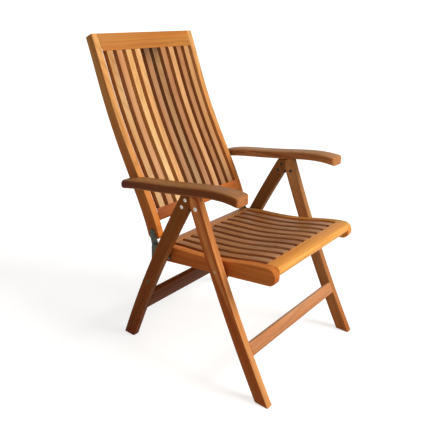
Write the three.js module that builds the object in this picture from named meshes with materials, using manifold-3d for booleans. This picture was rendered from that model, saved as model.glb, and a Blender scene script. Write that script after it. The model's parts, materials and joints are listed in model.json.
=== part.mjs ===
// Folding teak armchair with a reclining slatted back.
// Millimetres, +Z up, the chair faces -Y, X = 0 is its middle plane and Z = 0 the floor.
import * as THREE from 'three';
import * as BufferGeometryUtils from 'three/addons/utils/BufferGeometryUtils.js';
import Module from 'manifold-3d';

const wasm = await Module();
wasm.setup();

// Clearances shared by every joint
const touch_gap = 0.3;
const pin_play = 0.3;
const cut_overrun = 4;
const deck_seam = 1.2;

// Back: two stiles, two rails and the slats between them
const back_half_width = 250;
const stile_thickness = 26;
const stile_foot_rise = 37;
const back_foot_lead = 15.6;
const back_top_height = 1100;
const back_rake_length = 295.8;
const back_front_shares = [0, 0.2423, 0.541, 0.7866, 1];
const stile_foot_depth = 54;
const stile_top_depth = 36.5;
const stile_heel_radius = 20;
const stile_toe_radius = 12;
const top_rail_height = 58;
const bottom_rail_rise = 58;
const bottom_rail_height = 39;
const back_rail_thickness = 27;
const back_slat_count = 10;
const back_slat_width = 25.5;
const back_slat_thickness = 22;
const back_slat_recess = 0.8;
const back_slat_housing = 12;

// Seat: two side rails, a rounded front rail, a rear rail and the slats
const seat_side_inset = 3.7;
const seat_rail_thickness = 25;
const seat_rear_reach = 301;
const seat_front_reach = 199;
const seat_rear_drop = 9;
const seat_rise = 62;
const seat_top_shares = [0, 0.305, 0.445, 0.794, 1];
const seat_rail_depth_rear = 52.6;
const seat_rail_depth_front = 54;
const seat_rear_corner = 12;
const front_rail_depth = 33;
const front_rail_width = 63;
const front_rail_nose = 14;
const front_rail_setback = 2;
const rear_rail_depth = 34;
const rear_rail_width = 65;
const seat_slat_count = 10;
const seat_slat_width = 25.5;
const seat_slat_thickness = 14;
const seat_slat_ledge = 13;

// Legs: the same bow for both pairs, in one plane on each side
const leg_thickness = 25;
const leg_bow_rise = 6;
const front_top_reach = 57;
const front_lean_length = 270;
const front_leg_bow = 11;
const front_leg_width = 45.5;
const rear_top_reach = 8.5;
const rear_lean_length = 300;
const rear_leg_bow = 12.5;
const rear_leg_width = 48;
const front_stretcher_low = 149;
const front_stretcher_high = 186;
const front_stretcher_thickness = 21;
const rear_stretcher_low = 134;
const rear_stretcher_high = 216;
const rear_stretcher_thickness = 19;

// Arms
const arm_side_gap = 3;
const arm_width = 60;
const arm_thickness = 30;
const arm_front_reach = 243;
const arm_rear_reach = 270;
const arm_tip_rise = 32.3;
const arm_arch = 52;
const arm_top_shares = [0, 0.423, 0.691, 1, 0.946];
const arm_front_outer_corner = 12;
const arm_front_inner_corner = 16;
const arm_rear_corner = 28;

// Pivots, as heights on the legs' centre lines
const front_pivot_height = 594;
const upper_bolt_rise = 20.5;
const lower_bolt_drop = 5.6;
const seat_pivot_height = 404;
const stay_pivot_height = 265.5;

// Hinge between seat and back, and the stay that carries it
const hinge_reach = 292.5;
const hinge_drop = 16;
const plate_thickness = 3;
const seat_plate_eye = 12;
const seat_plate_tail = 10;
const seat_plate_reach = 58;
const seat_plate_fall = 17;
const back_plate_eye = 19;
const back_plate_head = 12;
const back_plate_reach = 58;
const hinge_pin_radius = 4.5;
const stay_layer_gap = 0.7;
const stay_eye = 19;
const stay_foot = 10;
const stay_dome_radius = 8;
const stay_dome_rise = 2.5;
const leg_side_gap = 3;

// Recline: studs on the stiles under a notched rack in each arm
const stud_radius = 3;
const stud_bite = 2.4;
const stud_washer_radius = 7;
const stud_washer_thickness = 1.2;
const stud_end_gap = 0.5;
const stud_root = 14;
const rack_thickness = 3;
const rack_play = 0.4;
const rack_notch_depth = 6.5;
const rack_spine = 3.5;
const rack_end_length = 9;
const rabbet_clearance = 0.5;
const recline_step_angle = 5;
const recline_steps = 4;

// T bracket under each arm and the bolts
const web_thickness = 3;
const web_edge_width = 11;
const web_slot_play = 0.3;
const slot_sweep_angle = 52;
const flange_thickness = 3;
const flange_half_width = 10;
const flange_front_length = 36;
const flange_rear_length = 35;
const pivot_bolt_radius = 4.5;
const pivot_head_radius = 7.5;
const pivot_head_rise = 3.5;
const leg_bolt_radius = 4;
const leg_head_radius = 6.5;
const leg_head_rise = 3;
const nut_radius = 6.5;
const nut_recess = 6;
const seat_bolt_radius = 4;
const seat_head_radius = 5.5;
const seat_head_rise = 2;
const seat_nut_radius = 7;
const seat_nut_thickness = 5;
const sleeve_radius = 8;
const stay_bolt_radius = 4;
const stay_head_radius = 5.5;
const stay_head_rise = 2;

// Smoothness of curves
const curve_steps = 28;
const arc_steps = 6;
const bolt_facets = 16;
const dome_steps = 3;
const halvings = 40;

// Derived heights, from the pivots upwards
const leg_bow_height = front_pivot_height + leg_bow_rise;
const arm_tip_height = front_pivot_height + arm_tip_rise;
const stile_foot_height = seat_pivot_height - hinge_drop + stile_foot_rise;
const bottom_rail_low = stile_foot_height + bottom_rail_rise;
const bottom_rail_high = bottom_rail_low + bottom_rail_height;

// Derived widths, from the back outwards
const stile_inner = back_half_width - stile_thickness;
const seat_half_width = back_half_width - seat_side_inset;
const seat_rail_inner = seat_half_width - seat_rail_thickness;
const seat_plate_inner = seat_half_width + touch_gap;
const seat_plate_outer = seat_plate_inner + plate_thickness;
const back_plate_inner = back_half_width + touch_gap;
const back_plate_outer = back_plate_inner + plate_thickness;
const stay_inner = back_plate_outer + stay_layer_gap;
const stay_outer = stay_inner + plate_thickness;
const leg_inner = stay_outer + leg_side_gap;
const leg_outer = leg_inner + leg_thickness;
const leg_middle = (leg_inner + leg_outer) / 2;
const arm_inner = back_half_width + arm_side_gap;
const arm_outer = arm_inner + arm_width;

// Smooth curve through five evenly spaced heights
function through_shares(shares, t) {
  let sum = 0;
  shares.forEach((share, i) => {
    let weight = share;
    shares.forEach((other, j) => {
      if (i !== j) weight *= (t * (shares.length - 1) - j) / (i - j);
    });
    sum += weight;
  });
  return sum;
}

function slope_of(curve, at) {
  const step = (back_top_height - stile_foot_height) / 1000;
  return (curve(at + step) - curve(at - step)) / (2 * step);
}

function spread(from, to, count) {
  return Array.from({ length: count + 1 }, (_, i) => from + (to - from) * i / count);
}

// Lowest height from which a test holds, found by halving
function first_height(from, to, holds) {
  let low = from;
  let high = to;
  for (let i = 0; i < halvings; i += 1) {
    const middle = (low + high) / 2;
    if (holds(middle)) high = middle;
    else low = middle;
  }
  return high;
}

// Centre lines of the legs: y as a function of height
function front_leg_line(z) {
  const t = z / leg_bow_height;
  return -front_top_reach - front_lean_length * (1 - t) + 4 * front_leg_bow * t * (1 - t);
}

function rear_leg_line(z) {
  const t = z / leg_bow_height;
  return -rear_top_reach + rear_lean_length * (1 - t) + 4 * rear_leg_bow * t * (1 - t);
}

const pivot = [front_leg_line(front_pivot_height), front_pivot_height];
const rear_bolts = [front_pivot_height + upper_bolt_rise, front_pivot_height - lower_bolt_drop]
  .map((z) => [rear_leg_line(z), z]);
const seat_pivot = [front_leg_line(seat_pivot_height), seat_pivot_height];
const stay_pivot = [rear_leg_line(stay_pivot_height), stay_pivot_height];
const hinge = [seat_pivot[0] + hinge_reach, seat_pivot_height - hinge_drop];

// Front face of the back: y as a function of height
function back_front(z) {
  const t = (z - stile_foot_height) / (back_top_height - stile_foot_height);
  return hinge[0] - back_foot_lead + back_rake_length * through_shares(back_front_shares, t);
}

// A point behind the front face of the back, measured square to it
function behind_back(z, depth) {
  const lean = slope_of(back_front, z);
  const norm = Math.hypot(1, lean);
  return [back_front(z) + depth / norm, z - depth * lean / norm];
}

function stile_depth(z) {
  const t = (z - stile_foot_height) / (back_top_height - stile_foot_height);
  return stile_foot_depth + (stile_top_depth - stile_foot_depth) * t;
}

// Top and bottom edges of the seat rails: z as a function of y
const seat_rear_y = seat_pivot[0] + seat_rear_reach;
const seat_front_y = seat_pivot[0] - seat_front_reach;
const seat_rear_top = seat_pivot_height - seat_rear_drop;

function seat_top(y) {
  const t = (seat_rear_y - y) / (seat_rear_y - seat_front_y);
  return seat_rear_top + seat_rise * through_shares(seat_top_shares, t);
}

function seat_bottom(y) {
  const t = (seat_rear_y - y) / (seat_rear_y - seat_front_y);
  const rear = seat_rear_top - seat_rail_depth_rear;
  const front = seat_rear_top + seat_rise - seat_rail_depth_front;
  return rear + (front - rear) * t;
}

// Top and underside of the arms: z as a function of y
function arm_top(y) {
  const t = (arm_rear_reach - y) / (arm_rear_reach + arm_front_reach);
  return arm_tip_height + arm_arch * through_shares(arm_top_shares, t);
}

function arm_under(y) {
  return arm_top(y) - arm_thickness;
}

// Points round an arc in the Y-Z plane, angles from +Y towards +Z
function arc_points(centre, radius, from, to, count = arc_steps) {
  return spread(from, to, count).map((a) => [
    centre[0] + radius * Math.cos(a),
    centre[1] + radius * Math.sin(a),
  ]);
}

// Outline of a strap with a round eye at each end
function strap_outline(a, radius_a, b, radius_b) {
  const along = Math.atan2(b[1] - a[1], b[0] - a[0]);
  const length = Math.hypot(b[0] - a[0], b[1] - a[1]);
  const tilt = Math.acos((radius_a - radius_b) / length);
  return [
    ...arc_points(a, radius_a, along + tilt, along + 2 * Math.PI - tilt, 2 * arc_steps),
    ...arc_points(b, radius_b, along - tilt, along + tilt, 2 * arc_steps),
  ];
}

function is_clockwise(points) {
  return THREE.ShapeUtils.isClockWise(points.map(([u, v]) => new THREE.Vector2(u, v)));
}

// Solid of a Y-Z outline between two X values
function side_prism(outline, x_from, x_to) {
  const points = is_clockwise(outline) ? [...outline].reverse() : outline;
  const shape = new THREE.Shape(points.map(([u, v]) => new THREE.Vector2(u, v)));
  const solid = new THREE.ExtrudeGeometry(shape, { depth: x_to - x_from, bevelEnabled: false });
  const to_side = new THREE.Matrix4().set(0, 0, 1, x_from, 1, 0, 0, 0, 0, 1, 0, 0, 0, 0, 0, 1);
  return solid.applyMatrix4(to_side);
}

// Solid of an X-Y outline between two heights
function plan_prism(outline, z_from, z_to) {
  const points = is_clockwise(outline) ? [...outline].reverse() : outline;
  const shape = new THREE.Shape(points.map(([u, v]) => new THREE.Vector2(u, v)));
  const solid = new THREE.ExtrudeGeometry(shape, { depth: z_to - z_from, bevelEnabled: false });
  return solid.translate(0, 0, z_from);
}

// Turned solid on an X axis: profile pairs are x and radius
function turned(profile, centre) {
  const points = profile.map(([x, radius]) => new THREE.Vector2(radius, x));
  const solid = new THREE.LatheGeometry(points, bolt_facets);
  const to_side = new THREE.Matrix4().set(
    0, 1, 0, 0,
    0, 0, 1, centre[0],
    1, 0, 0, centre[1],
    0, 0, 0, 1,
  );
  return solid.applyMatrix4(to_side);
}

// Profile of a rod whose outer end carries a low domed head
function dome_profile(x_base, radius, rise) {
  return spread(0, 1, dome_steps).map((t) => [
    x_base + rise * Math.sin(t * Math.PI / 2),
    radius * Math.cos(t * Math.PI / 2),
  ]);
}

function rod(centre, radius, x_from, x_to) {
  return turned([[x_from, 0], [x_from, radius], [x_to, radius], [x_to, 0]], centre);
}

// Closed solids for joining and cutting
function to_solid(geometry) {
  const bare = geometry.index ? geometry.toNonIndexed() : geometry.clone();
  bare.deleteAttribute('normal');
  bare.deleteAttribute('uv');
  const merged = BufferGeometryUtils.mergeVertices(bare, touch_gap / 1000);
  const kept = [];
  const index = merged.index.array;
  for (let i = 0; i < index.length; i += 3) {
    const corner = [index[i], index[i + 1], index[i + 2]];
    if (new Set(corner).size === 3) kept.push(...corner);
  }
  return new wasm.Manifold(new wasm.Mesh({
    numProp: 3,
    vertProperties: new Float32Array(merged.attributes.position.array),
    triVerts: new Uint32Array(kept),
  }));
}

function to_geometry(solid) {
  const mesh = solid.getMesh();
  const geometry = new THREE.BufferGeometry();
  geometry.setAttribute('position', new THREE.BufferAttribute(mesh.vertProperties, mesh.numProp));
  geometry.setIndex(new THREE.BufferAttribute(mesh.triVerts, 1));
  const flat = geometry.toNonIndexed();
  flat.computeVertexNormals();
  return flat;
}

function cut(geometry, ...tools) {
  return to_geometry(tools.reduce((left, tool) => left.subtract(to_solid(tool)), to_solid(geometry)));
}

function join(geometry, ...others) {
  return to_geometry(others.reduce((sum, other) => sum.add(to_solid(other)), to_solid(geometry)));
}

function keep_inside(geometry, envelope) {
  return to_geometry(to_solid(geometry).intersect(to_solid(envelope)));
}

// Materials
const wood = (color) => new THREE.MeshStandardMaterial({ color, roughness: 0.55, metalness: 0 });
const metal = (color, roughness) => new THREE.MeshStandardMaterial({ color, roughness, metalness: 1 });
const teak_frame = wood(0x8a4f26);
const teak_light = wood(0xc88a4e);
const teak_brown = wood(0x7a4c2a);
const bright_steel = metal(0xd8d8d6, 0.25);
const dark_steel = metal(0x4a4f49, 0.5);
const brown_steel = metal(0x6b4a33, 0.55);

const chair = new THREE.Group();
const sides = [['left', -1], ['right', 1]];

function place(name, geometry, material) {
  const mesh = new THREE.Mesh(geometry, material);
  mesh.name = name;
  chair.add(mesh);
}

// X limits of a layer on one side, low value first
function layer(side, inner, outer) {
  return side > 0 ? [inner, outer] : [-outer, -inner];
}

// A turned profile given for the +X side, put on either side
function on_side(side, profile, centre) {
  const points = side > 0 ? profile : profile.map(([x, radius]) => [-x, radius]).reverse();
  return turned(points, centre);
}

// Strip of the back between two heights and two depths behind its front face
function back_strip(z_low, z_high, depth_front, depth_rear) {
  const heights = spread(z_low, z_high, curve_steps);
  return [
    ...heights.map((z) => behind_back(z, depth_front)),
    ...[...heights].reverse().map((z) => behind_back(z, depth_rear)),
  ];
}

// Strip of the seat between two Y values and two depths below its top
function seat_strip(y_front, y_rear, depth_top, depth_low) {
  const stations = spread(y_front, y_rear, curve_steps);
  return [
    ...stations.map((y) => [y, seat_top(y) - depth_top]),
    ...[...stations].reverse().map((y) => [y, seat_top(y) - depth_low]),
  ];
}

// Back stiles, with both corners of the foot rounded off
function stile_outline() {
  const foot_point = ([depth, rise]) => behind_back(stile_foot_height + rise, depth);
  const foot_depth = stile_depth(stile_foot_height + stile_heel_radius);
  const heel_centre = [foot_depth - stile_heel_radius, stile_heel_radius];
  const toe_centre = [stile_toe_radius, stile_toe_radius];
  const front = spread(stile_foot_height + stile_toe_radius, back_top_height, curve_steps);
  const rear = spread(back_top_height, stile_foot_height + stile_heel_radius, curve_steps);
  return [
    ...front.map((z) => behind_back(z, 0)),
    ...rear.slice(0, -1).map((z) => behind_back(z, stile_depth(z))),
    ...arc_points(heel_centre, stile_heel_radius, 0, -Math.PI / 2).map(foot_point),
    ...arc_points(toe_centre, stile_toe_radius, -Math.PI / 2, -Math.PI).slice(0, -1).map(foot_point),
  ];
}

// The stud sits on the stile's middle line, a little above the underside of the arm
const stile_centre = (z) => behind_back(z, stile_depth(z) / 2);
const stud_station = first_height(stile_foot_height, back_top_height, (z) => {
  const [y, height] = stile_centre(z);
  return height > arm_under(y) + stud_bite;
});
const stud_centre = stile_centre(stud_station);
const stud_arc = Math.hypot(stud_centre[0] - hinge[0], stud_centre[1] - hinge[1]);
const stud_angle = Math.atan2(stud_centre[1] - hinge[1], stud_centre[0] - hinge[0]);

function make_stile(side) {
  const [x_low, x_high] = layer(side, stile_inner, back_half_width);
  const [hole_low, hole_high] = layer(
    side, back_half_width - stud_root - pin_play, back_half_width + cut_overrun,
  );
  const hole = rod(stud_centre, stud_radius + pin_play, hole_low, hole_high);
  return cut(side_prism(stile_outline(), x_low, x_high), hole);
}

sides.forEach(([word, side]) => place(`back_stile_${word}`, make_stile(side), teak_frame));

// Back rails, each with a housing that takes the slat ends from behind
const rail_half_length = stile_inner - touch_gap;
const top_rail_low = back_top_height - top_rail_height;
const slat_depth_rear = back_slat_recess + back_slat_thickness;

function back_rail(z_low, z_high, housing_low, housing_high) {
  const body = side_prism(
    back_strip(z_low, z_high, 0, back_rail_thickness), -rail_half_length, rail_half_length,
  );
  const housing = side_prism(
    back_strip(housing_low, housing_high, back_slat_recess - touch_gap, back_rail_thickness + cut_overrun),
    -rail_half_length - cut_overrun,
    rail_half_length + cut_overrun,
  );
  return cut(body, housing);
}

place('back_top_rail', back_rail(
  top_rail_low, back_top_height, top_rail_low - cut_overrun, top_rail_low + back_slat_housing,
), teak_light);
place('back_bottom_rail', back_rail(
  bottom_rail_low, bottom_rail_high, bottom_rail_high - back_slat_housing, bottom_rail_high + cut_overrun,
), teak_light);
const back_slat_low = bottom_rail_high - back_slat_housing + touch_gap;
const back_slat_high = top_rail_low + back_slat_housing - touch_gap;
const back_slat_gap = (2 * stile_inner - back_slat_count * back_slat_width) / (back_slat_count + 1);

for (let i = 0; i < back_slat_count; i += 1) {
  const x_low = -stile_inner + back_slat_gap + i * (back_slat_width + back_slat_gap);
  const outline = back_strip(back_slat_low, back_slat_high, back_slat_recess, slat_depth_rear);
  place(`back_slat_${i + 1}`, side_prism(outline, x_low, x_low + back_slat_width), teak_light);
}

// Seat side rails, with a half-round front end and an eased rear corner
function seat_rail_outline() {
  const nose = seat_rail_depth_front / 2;
  const nose_y = seat_front_y + nose;
  const nose_z = (seat_top(nose_y) + seat_bottom(nose_y)) / 2;
  const nose_radius = (seat_top(nose_y) - seat_bottom(nose_y)) / 2;
  const top = spread(nose_y, seat_rear_y - seat_rear_corner, curve_steps).map((y) => [y, seat_top(y)]);
  const bottom = spread(seat_rear_y, nose_y, 2).map((y) => [y, seat_bottom(y)]);
  const stretch = nose / nose_radius;
  const round = arc_points([0, 0], nose_radius, -Math.PI / 2, -3 * Math.PI / 2, 2 * arc_steps)
    .slice(1, -1)
    .map(([u, v]) => [nose_y + u * stretch, nose_z + v]);
  const corner = [seat_rear_y, seat_top(seat_rear_y) - seat_rear_corner];
  return [...top, corner, ...bottom, ...round];
}

function make_seat_rail(side) {
  const [x_low, x_high] = layer(side, seat_rail_inner, seat_half_width);
  const hole = rod(seat_pivot, seat_bolt_radius + pin_play, x_low - cut_overrun, x_high + cut_overrun);
  return cut(side_prism(seat_rail_outline(), x_low, x_high), hole);
}

sides.forEach(([word, side]) => place(`seat_rail_${word}`, make_seat_rail(side), teak_frame));

// Seat cross rails, each with a ledge that carries the slat ends
const seat_rail_half = seat_rail_inner - touch_gap;
const front_rail_y = seat_front_y + front_rail_setback;
const front_rail_back = front_rail_y + front_rail_width;
const rear_rail_front = seat_rear_y - rear_rail_width;
const ledge_depth = seat_slat_thickness + deck_seam;

function front_rail_outline() {
  const nose_y = front_rail_y + front_rail_nose;
  const top = spread(nose_y, front_rail_back - seat_slat_ledge, 3).map((y) => [y, seat_top(y)]);
  const step_y = front_rail_back - seat_slat_ledge;
  const nose_low = seat_top(nose_y) - front_rail_depth;
  const middle = (seat_top(nose_y) + nose_low) / 2;
  const stretch = front_rail_nose / (front_rail_depth / 2);
  const round = arc_points([0, 0], front_rail_depth / 2, -Math.PI / 2, -3 * Math.PI / 2, 2 * arc_steps)
    .slice(1, -1)
    .map(([u, v]) => [nose_y + u * stretch, middle + v]);
  return [
    ...top,
    [step_y, seat_top(step_y) - ledge_depth],
    [front_rail_back, seat_top(front_rail_back) - ledge_depth],
    [front_rail_back, nose_low],
    [nose_y, nose_low],
    ...round,
  ];
}

function rear_rail_outline() {
  const step_y = rear_rail_front + seat_slat_ledge;
  const chamfer = seat_rear_corner / 3;
  const top = spread(step_y, seat_rear_y - chamfer, curve_steps / 4).map((y) => [y, seat_top(y)]);
  return [
    [rear_rail_front, seat_top(rear_rail_front) - ledge_depth],
    [step_y, seat_top(step_y) - ledge_depth],
    ...top,
    [seat_rear_y, seat_top(seat_rear_y) - chamfer],
    [seat_rear_y, seat_top(seat_rear_y) - rear_rail_depth],
    [rear_rail_front, seat_top(seat_rear_y) - rear_rail_depth],
  ];
}

place('seat_front_rail', side_prism(front_rail_outline(), -seat_rail_half, seat_rail_half), teak_light);
place('seat_rear_rail', side_prism(rear_rail_outline(), -seat_rail_half, seat_rail_half), teak_frame);
const seat_slat_front = front_rail_back - seat_slat_ledge + touch_gap;
const seat_slat_rear = rear_rail_front + seat_slat_ledge - touch_gap;
const seat_slat_low = ledge_depth - touch_gap;
const seat_slat_top = seat_slat_low - seat_slat_thickness;
const seat_slat_gap = (2 * seat_rail_inner - seat_slat_count * seat_slat_width) / (seat_slat_count + 1);

for (let i = 0; i < seat_slat_count; i += 1) {
  const x_low = -seat_rail_inner + seat_slat_gap + i * (seat_slat_width + seat_slat_gap);
  const outline = seat_strip(seat_slat_front, seat_slat_rear, seat_slat_top, seat_slat_low);
  place(`seat_slat_${i + 1}`, side_prism(outline, x_low, x_low + seat_slat_width), teak_light);
}

// Edges of a leg at a height, level with the floor
function leg_edge(line, width, z, toward_rear) {
  return line(z) + toward_rear * width / 2 * Math.hypot(1, slope_of(line, z));
}

// Clear height under an arm and the round top that lets a front leg swing
const leg_top = (y) => arm_under(y) - touch_gap;
const arm_tilt = Math.atan(slope_of(arm_under, pivot[0]));
const swing_radius = (leg_top(pivot[0]) - pivot[1]) * Math.cos(arm_tilt) - touch_gap;
const split_y = -(front_top_reach + rear_top_reach) / 2;

function height_where(line, width, toward_rear, wanted_y) {
  const top = arm_tip_height + arm_arch;
  const past = (z) => leg_edge(line, width, z, toward_rear) > wanted_y;
  const flip = past(0);
  return first_height(0, top, (z) => past(z) !== flip);
}

function height_under_arm(line, width, toward_rear) {
  const top = arm_tip_height + arm_arch;
  return first_height(0, top, (z) => z > leg_top(leg_edge(line, width, z, toward_rear)));
}

function front_leg_outline() {
  const front_top = height_under_arm(front_leg_line, front_leg_width, -1);
  const front = spread(0, front_top, curve_steps)
    .map((z) => [leg_edge(front_leg_line, front_leg_width, z, -1), z]);
  const wall = split_y - touch_gap;
  const rear_high = height_where(front_leg_line, front_leg_width, 1, wall);
  const reach = wall - pivot[0];
  const wall_angle = Math.acos(reach / swing_radius);
  const round = arc_points(pivot, swing_radius, Math.PI / 2 + arm_tilt, wall_angle, arc_steps);
  const rear = spread(rear_high, 0, curve_steps)
    .map((z) => [leg_edge(front_leg_line, front_leg_width, z, 1), z]);
  const contact = [pivot[0], leg_top(pivot[0])];
  return [...front, contact, ...round, ...rear];
}

function rear_leg_outline() {
  const rear_top = height_under_arm(rear_leg_line, rear_leg_width, 1);
  const front_high = height_where(rear_leg_line, rear_leg_width, -1, split_y);
  const front = spread(0, front_high, curve_steps)
    .map((z) => [leg_edge(rear_leg_line, rear_leg_width, z, -1), z]);
  const rear = spread(rear_top, 0, curve_steps)
    .map((z) => [leg_edge(rear_leg_line, rear_leg_width, z, 1), z]);
  const top = spread(split_y, rear[0][0], 2).map((y) => [y, leg_top(y)]);
  return [...front, ...top.slice(0, -1), ...rear];
}

// Slot for the bracket web in the middle of a leg
const slot_half = web_thickness / 2 + web_slot_play;
const web_low = Math.min(...rear_bolts.map(([, z]) => z), pivot[1]) - web_edge_width;
const swing_slot_radius = web_edge_width + web_slot_play;

function front_slot_outline() {
  const lower = rear_bolts[1];
  const web_angle = Math.atan2(lower[1] - pivot[1], lower[0] - pivot[0]);
  const low_angle = web_angle - slot_sweep_angle * Math.PI / 180;
  const far = 3 * front_leg_width;
  const around = arc_points(pivot, swing_slot_radius, Math.PI, 1.5 * Math.PI + low_angle);
  const last = around[around.length - 1];
  return [
    [pivot[0] - swing_slot_radius, pivot[1] + far],
    ...around,
    [last[0] + far * Math.cos(low_angle), last[1] + far * Math.sin(low_angle)],
    [pivot[0] + 2 * far, pivot[1]],
    [pivot[0] + 2 * far, pivot[1] + far],
  ];
}

function nut_pocket(centre, side) {
  const deep = [leg_inner - cut_overrun, leg_inner + nut_recess + touch_gap];
  const [x_low, x_high] = layer(side, ...deep);
  return rod(centre, nut_radius + pin_play, x_low, x_high);
}

function bolt_hole(centre, radius, side) {
  const [x_low, x_high] = layer(side, leg_inner - cut_overrun, leg_outer + cut_overrun);
  return rod(centre, radius + pin_play, x_low, x_high);
}

function make_front_leg(side) {
  const [x_low, x_high] = layer(side, leg_inner, leg_outer);
  const [slot_low, slot_high] = layer(side, leg_middle - slot_half, leg_middle + slot_half);
  return cut(
    side_prism(front_leg_outline(), x_low, x_high),
    side_prism(front_slot_outline(), slot_low, slot_high),
    rod(pivot, swing_slot_radius, slot_low, slot_high),
    bolt_hole(pivot, pivot_bolt_radius, side),
    nut_pocket(pivot, side),
    bolt_hole(seat_pivot, seat_bolt_radius, side),
  );
}

function make_rear_leg(side) {
  const [x_low, x_high] = layer(side, leg_inner, leg_outer);
  const [slot_low, slot_high] = layer(side, leg_middle - slot_half, leg_middle + slot_half);
  const slot_floor = web_low - touch_gap;
  const slot_top = arm_tip_height + arm_arch;
  const slot = [
    [split_y - rear_leg_width, slot_floor],
    [rear_leg_width * 2, slot_floor],
    [rear_leg_width * 2, slot_top],
    [split_y - rear_leg_width, slot_top],
  ];
  return cut(
    side_prism(rear_leg_outline(), x_low, x_high),
    side_prism(slot, slot_low, slot_high),
    ...rear_bolts.flatMap((centre) => [bolt_hole(centre, leg_bolt_radius, side), nut_pocket(centre, side)]),
    bolt_hole(stay_pivot, stay_bolt_radius, side),
  );
}

sides.forEach(([word, side]) => {
  place(`front_leg_${word}`, make_front_leg(side), teak_frame);
  place(`rear_leg_${word}`, make_rear_leg(side), teak_frame);
});

// Stretchers, their front faces flush with the front edges of the legs
function stretcher(line, width, z_low, z_high, thickness) {
  const heights = spread(z_low, z_high, 2);
  const lean = slope_of(line, (z_low + z_high) / 2);
  const norm = Math.hypot(1, lean);
  const front = heights.map((z) => [leg_edge(line, width, z, -1), z]);
  const rear = [...front].reverse().map(([y, z]) => [y + thickness / norm, z - thickness * lean / norm]);
  return side_prism([...front, ...rear], -leg_inner + touch_gap, leg_inner - touch_gap);
}

place('front_stretcher', stretcher(
  front_leg_line, front_leg_width, front_stretcher_low, front_stretcher_high, front_stretcher_thickness,
), teak_frame);
place('rear_stretcher', stretcher(
  rear_leg_line, rear_leg_width, rear_stretcher_low, rear_stretcher_high, rear_stretcher_thickness,
), teak_frame);

// Arms: a curved plank, rounded in plan, with a recess for the bracket and a rabbet for the studs
const rack_inner_radius = stud_arc + stud_radius + rack_play;
const rack_outer_radius = rack_inner_radius + rack_notch_depth + rack_spine;
const rabbet_radius = rack_outer_radius + rabbet_clearance;
const stud_end = leg_inner - stud_end_gap;
const rack_outer = stud_end;
const rack_inner = rack_outer - rack_thickness;
const rabbet_wall = rack_outer + touch_gap;
const flange_front = pivot[0] - flange_front_length;
const flange_rear = rear_bolts[0][0] + flange_rear_length;

function arm_plan(side) {
  const corners = [
    [arm_inner, -arm_front_reach, arm_front_inner_corner, Math.PI, 1.5 * Math.PI],
    [arm_outer, -arm_front_reach, arm_front_outer_corner, 1.5 * Math.PI, 2 * Math.PI],
    [arm_outer, arm_rear_reach, arm_rear_corner, 0, Math.PI / 2],
    [arm_inner, arm_rear_reach, arm_rear_corner, Math.PI / 2, Math.PI],
  ];
  return corners.flatMap(([x, y, radius, from, to]) => {
    const centre_x = x === arm_inner ? x + radius : x - radius;
    const centre_y = y > 0 ? y - radius : y + radius;
    return arc_points([centre_x, centre_y], radius, from, to);
  }).map(([x, y]) => [side * x, y]);
}

function make_arm(side) {
  const stations = spread(-arm_front_reach - cut_overrun, arm_rear_reach + cut_overrun, 2 * curve_steps);
  const profile = [
    ...stations.map((y) => [y, arm_top(y)]),
    ...[...stations].reverse().map((y) => [y, arm_under(y)]),
  ];
  const [x_low, x_high] = layer(side, arm_inner - cut_overrun, arm_outer + cut_overrun);
  const plank = side_prism(profile, x_low, x_high);
  const shaped = keep_inside(
    plank, plan_prism(arm_plan(side), arm_tip_height - arm_width, arm_tip_height + arm_width + arm_arch),
  );
  const [rabbet_low, rabbet_high] = layer(side, arm_inner - cut_overrun, rabbet_wall);
  const rabbet = side_prism(
    arc_points(hinge, rabbet_radius, 0, Math.PI, 10 * arc_steps), rabbet_low, rabbet_high,
  );
  const recess_y = spread(flange_front - touch_gap, flange_rear + touch_gap, arc_steps);
  const recess = side_prism([
    ...recess_y.map((y) => [y, arm_under(y) + flange_thickness + 2 * touch_gap]),
    ...[...recess_y].reverse().map((y) => [y, arm_under(y) - cut_overrun]),
  ], ...layer(side, leg_middle - flange_half_width - touch_gap, leg_middle + flange_half_width + touch_gap));
  return cut(shaped, rabbet, recess);
}

sides.forEach(([word, side]) => place(`arm_${word}`, make_arm(side), teak_brown));

// Brackets: a flange let into the arm and a web hanging in the slots of the legs
function web_outline() {
  const [upper, lower] = rear_bolts;
  const rear_edge = upper[0] + web_edge_width;
  const front_edge = pivot[0] - web_edge_width;
  const seat_of_flange = touch_gap + flange_thickness / 2;
  const rest = spread(front_edge, rear_edge, 3).map((y) => [y, arm_under(y) + seat_of_flange]);
  return [
    ...rest,
    [rear_edge, upper[1]],
    ...arc_points(lower, web_edge_width, 0, -Math.PI / 2, arc_steps),
    ...arc_points(pivot, web_edge_width, -Math.PI / 2, -Math.PI, arc_steps),
  ];
}

function make_bracket(side) {
  const flange_y = spread(flange_front, flange_rear, arc_steps);
  const flange = side_prism([
    ...flange_y.map((y) => [y, arm_under(y) + touch_gap + flange_thickness]),
    ...[...flange_y].reverse().map((y) => [y, arm_under(y) + touch_gap]),
  ], ...layer(side, leg_middle - flange_half_width, leg_middle + flange_half_width));
  const [web_from, web_to] = layer(side, leg_middle - web_thickness / 2, leg_middle + web_thickness / 2);
  const web = side_prism(web_outline(), web_from, web_to);
  const holes = [
    rod(pivot, pivot_bolt_radius + pin_play, web_from - cut_overrun, web_to + cut_overrun),
    ...rear_bolts.map((centre) => rod(
      centre, leg_bolt_radius + pin_play, web_from - cut_overrun, web_to + cut_overrun,
    )),
  ];
  return cut(join(web, flange), ...holes);
}

sides.forEach(([word, side]) => place(`arm_bracket_${word}`, make_bracket(side), dark_steel));

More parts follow.
